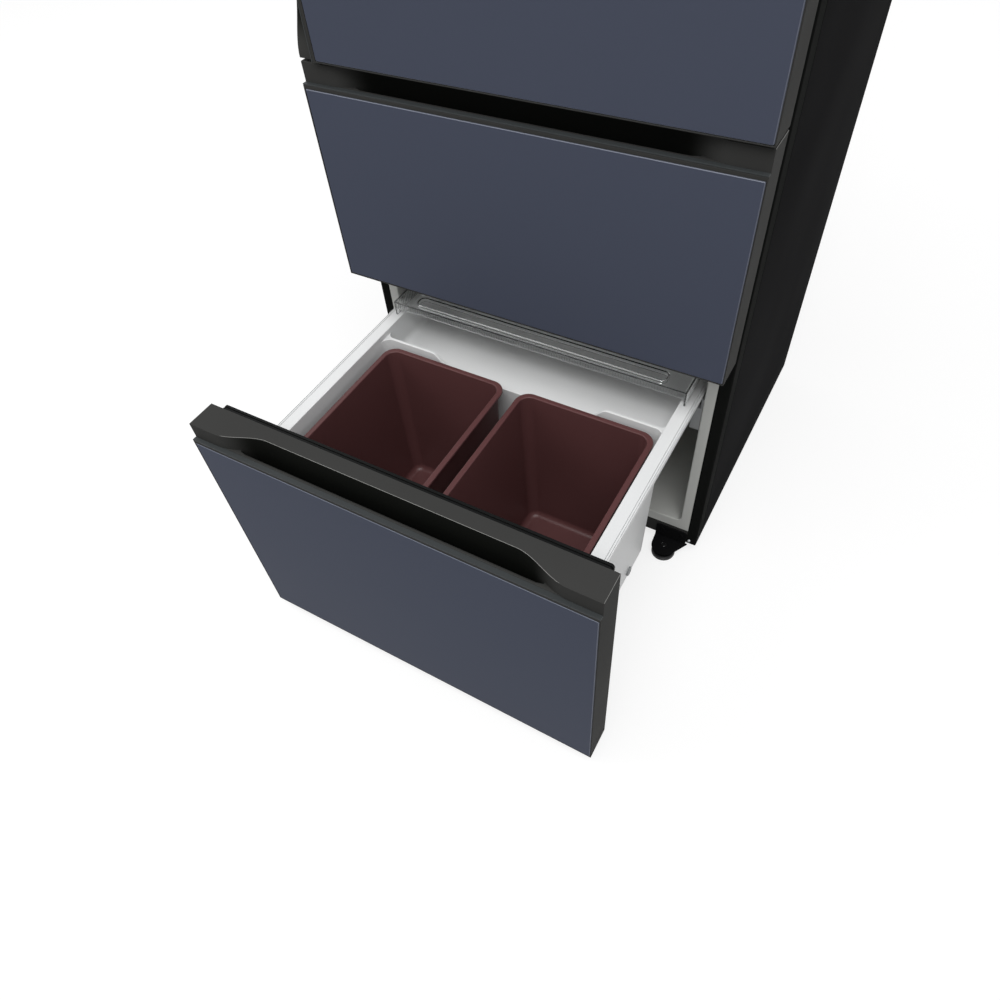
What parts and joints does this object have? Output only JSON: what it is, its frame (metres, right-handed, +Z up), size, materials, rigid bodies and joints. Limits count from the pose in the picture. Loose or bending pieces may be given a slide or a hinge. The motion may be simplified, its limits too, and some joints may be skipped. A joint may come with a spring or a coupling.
{
  "type": "kimchi refrigerator",
  "caption": "Tall kimchi refrigerator: a hinged glass-faced door over full-width insulated drawers, the lower one pulled open to show its basket and lift-out containers.",
  "frame": {"origin": "on the floor, at the middle of the object's outline as it stands with the lower drawer fully open", "axes": "+X to the right of someone who faces the front, +Y to the back of the cabinet, +Z up"},
  "size_m": [0.695, 1.109, 1.853],
  "materials": {
    "black_steel": "satin black coated sheet steel",
    "charcoal": "satin charcoal",
    "slate_glass": "satin glass with an opaque slate blue back",
    "white_plastic": "satin white moulded plastic",
    "grey_plastic": "satin grey moulded plastic",
    "clear_plastic": "clear moulded plastic",
    "shelf_glass": "clear toughened glass",
    "maroon_plastic": "glossy dark maroon moulded plastic",
    "black_plastic": "satin black moulded plastic",
    "rubber": "matte black soft rubber",
    "zinc": "zinc-plated steel",
    "aluminium": "plain aluminium",
    "foam": "rigid insulating foam"
  },
  "bodies": {
    "cabinet": {"outer_case": "black_steel", "rear_panel": "black_steel", "base_pan": "black_steel", "machine_cover": "black_steel", "power_inlet": "black_plastic", "foam_body": "foam", "upper_liner": "white_plastic", "middle_liner": "white_plastic", "lower_liner": "white_plastic", "middle_evaporator": "aluminium", "lower_evaporator": "aluminium", "upper_evaporator": "aluminium", "air_duct_cover": "white_plastic", "control_panel": "black_plastic", "foot_bracket_left": "black_steel", "foot_bracket_right": "black_steel", "compressor": "black_steel", "drain_pan": "black_plastic", "condenser": "aluminium", "fan_motor": "zinc", "middle_rail_left": "grey_plastic", "middle_rail_right": "grey_plastic", "lower_rail_left": "grey_plastic", "lower_rail_right": "grey_plastic", "top_hinge": "zinc", "top_hinge_cover": "black_plastic", "middle_hinge": "zinc"},
    "upper_door": {"door_frame": "charcoal", "door_glass": "slate_glass", "door_gasket": "rubber", "door_inner_liner": "white_plastic"},
    "door_bin_upper": {"door_bin_upper": "clear_plastic"},
    "door_bin_lower": {"door_bin_lower": "clear_plastic"},
    "shelf_upper": {"shelf_upper": "shelf_glass"},
    "shelf_lower": {"shelf_lower": "shelf_glass"},
    "middle_drawer": {"middle_drawer_front": "charcoal", "middle_drawer_glass": "slate_glass", "middle_drawer_gasket": "rubber", "middle_drawer_inner_panel": "white_plastic", "middle_basket": "white_plastic"},
    "middle_container": {"middle_container": "maroon_plastic"},
    "middle_container_lid": {"middle_container_lid": "maroon_plastic"},
    "lower_drawer": {"lower_drawer_front": "charcoal", "lower_drawer_glass": "slate_glass", "lower_drawer_gasket": "rubber", "lower_drawer_inner_panel": "white_plastic", "lower_basket": "white_plastic"},
    "lower_sliding_cover": {"lower_sliding_cover": "clear_plastic"},
    "lower_container_left": {"lower_container_left": "maroon_plastic"},
    "lower_container_right": {"lower_container_right": "maroon_plastic"},
    "middle_roller_left": {"middle_roller_left": "black_plastic"},
    "middle_roller_right": {"middle_roller_right": "black_plastic"},
    "lower_roller_left": {"lower_roller_left": "black_plastic"},
    "lower_roller_right": {"lower_roller_right": "black_plastic"},
    "levelling_foot_left": {"levelling_foot_left": "black_plastic"},
    "levelling_foot_right": {"levelling_foot_right": "black_plastic"},
    "rear_roller_left": {"rear_roller_left": "black_plastic"},
    "rear_roller_right": {"rear_roller_right": "black_plastic"},
    "condenser_fan": {"condenser_fan": "black_plastic"}
  },
  "joints": [
    {"name": "upper_door_hinge", "type": "hinge", "parent": "cabinet", "child": "upper_door", "pos_m": [0.334, -0.0975, 1.36175], "axis": [0, 0, 1], "range_deg": [0, 125]},
    {"name": "door_bin_upper_lift", "type": "slide", "parent": "upper_door", "child": "door_bin_upper", "axis": [0, 0, 1], "range_m": [0, 0.2]},
    {"name": "door_bin_lower_lift", "type": "slide", "parent": "upper_door", "child": "door_bin_lower", "axis": [0, 0, 1], "range_m": [0, 0.17]},
    {"name": "shelf_upper_slide", "type": "slide", "parent": "cabinet", "child": "shelf_upper", "axis": [0, -1, 0], "range_m": [0, 0.12]},
    {"name": "shelf_lower_slide", "type": "slide", "parent": "cabinet", "child": "shelf_lower", "axis": [0, -1, 0], "range_m": [0, 0.12]},
    {"name": "middle_drawer_slide", "type": "slide", "parent": "cabinet", "child": "middle_drawer", "axis": [0, 1, 0], "range_m": [-0.426, 0]},
    {"name": "middle_container_lift", "type": "slide", "parent": "middle_drawer", "child": "middle_container", "axis": [0, 0, 1], "range_m": [0, 0.04]},
    {"name": "middle_container_lid_lift", "type": "slide", "parent": "middle_container", "child": "middle_container_lid", "axis": [0, 0, 1], "range_m": [0, 0.04]},
    {"name": "lower_drawer_slide", "type": "slide", "parent": "cabinet", "child": "lower_drawer", "axis": [0, -1, 0], "range_m": [-0.426, 0]},
    {"name": "lower_sliding_cover_slide", "type": "slide", "parent": "lower_drawer", "child": "lower_sliding_cover", "axis": [0, -1, 0], "range_m": [0, 0.33]},
    {"name": "lower_container_left_lift", "type": "slide", "parent": "lower_drawer", "child": "lower_container_left", "axis": [0, 0, 1], "range_m": [0, 0.38]},
    {"name": "lower_container_right_lift", "type": "slide", "parent": "lower_drawer", "child": "lower_container_right", "axis": [0, 0, 1], "range_m": [0, 0.38]},
    {"name": "middle_roller_left_spin", "type": "hinge", "parent": "cabinet", "child": "middle_roller_left", "pos_m": [-0.297, -0.0415, 0.7712], "axis": [1, 0, 0], "continuous": true},
    {"name": "middle_roller_right_spin", "type": "hinge", "parent": "cabinet", "child": "middle_roller_right", "pos_m": [0.297, -0.0415, 0.7712], "axis": [1, 0, 0], "continuous": true},
    {"name": "lower_roller_left_spin", "type": "hinge", "parent": "cabinet", "child": "lower_roller_left", "pos_m": [-0.297, -0.0415, 0.4117], "axis": [1, 0, 0], "continuous": true},
    {"name": "lower_roller_right_spin", "type": "hinge", "parent": "cabinet", "child": "lower_roller_right", "pos_m": [0.297, -0.0415, 0.4117], "axis": [1, 0, 0], "continuous": true},
    {"name": "levelling_foot_left_turn", "type": "hinge", "parent": "cabinet", "child": "levelling_foot_left", "pos_m": [-0.2895, -0.0801, 0.01], "axis": [0, 0, 1], "continuous": true},
    {"name": "levelling_foot_right_turn", "type": "hinge", "parent": "cabinet", "child": "levelling_foot_right", "pos_m": [0.2895, -0.0801, 0.01], "axis": [0, 0, 1], "continuous": true},
    {"name": "rear_roller_left_spin", "type": "hinge", "parent": "cabinet", "child": "rear_roller_left", "pos_m": [-0.3, 0.5025, 0.014], "axis": [1, 0, 0], "continuous": true},
    {"name": "rear_roller_right_spin", "type": "hinge", "parent": "cabinet", "child": "rear_roller_right", "pos_m": [0.3, 0.5025, 0.014], "axis": [1, 0, 0], "continuous": true},
    {"name": "condenser_fan_spin", "type": "hinge", "parent": "cabinet", "child": "condenser_fan", "pos_m": [0.013, 0.447, 0.1413], "axis": [1, 0, 0], "continuous": true}
  ],
  "couplings": [
    {"joint": "middle_roller_left_spin", "follows": "middle_drawer_slide", "rad_per_m": -90.909},
    {"joint": "middle_roller_right_spin", "follows": "middle_drawer_slide", "rad_per_m": -90.909},
    {"joint": "lower_roller_left_spin", "follows": "lower_drawer_slide", "rad_per_m": 90.909},
    {"joint": "lower_roller_right_spin", "follows": "lower_drawer_slide", "rad_per_m": 90.909}
  ]
}
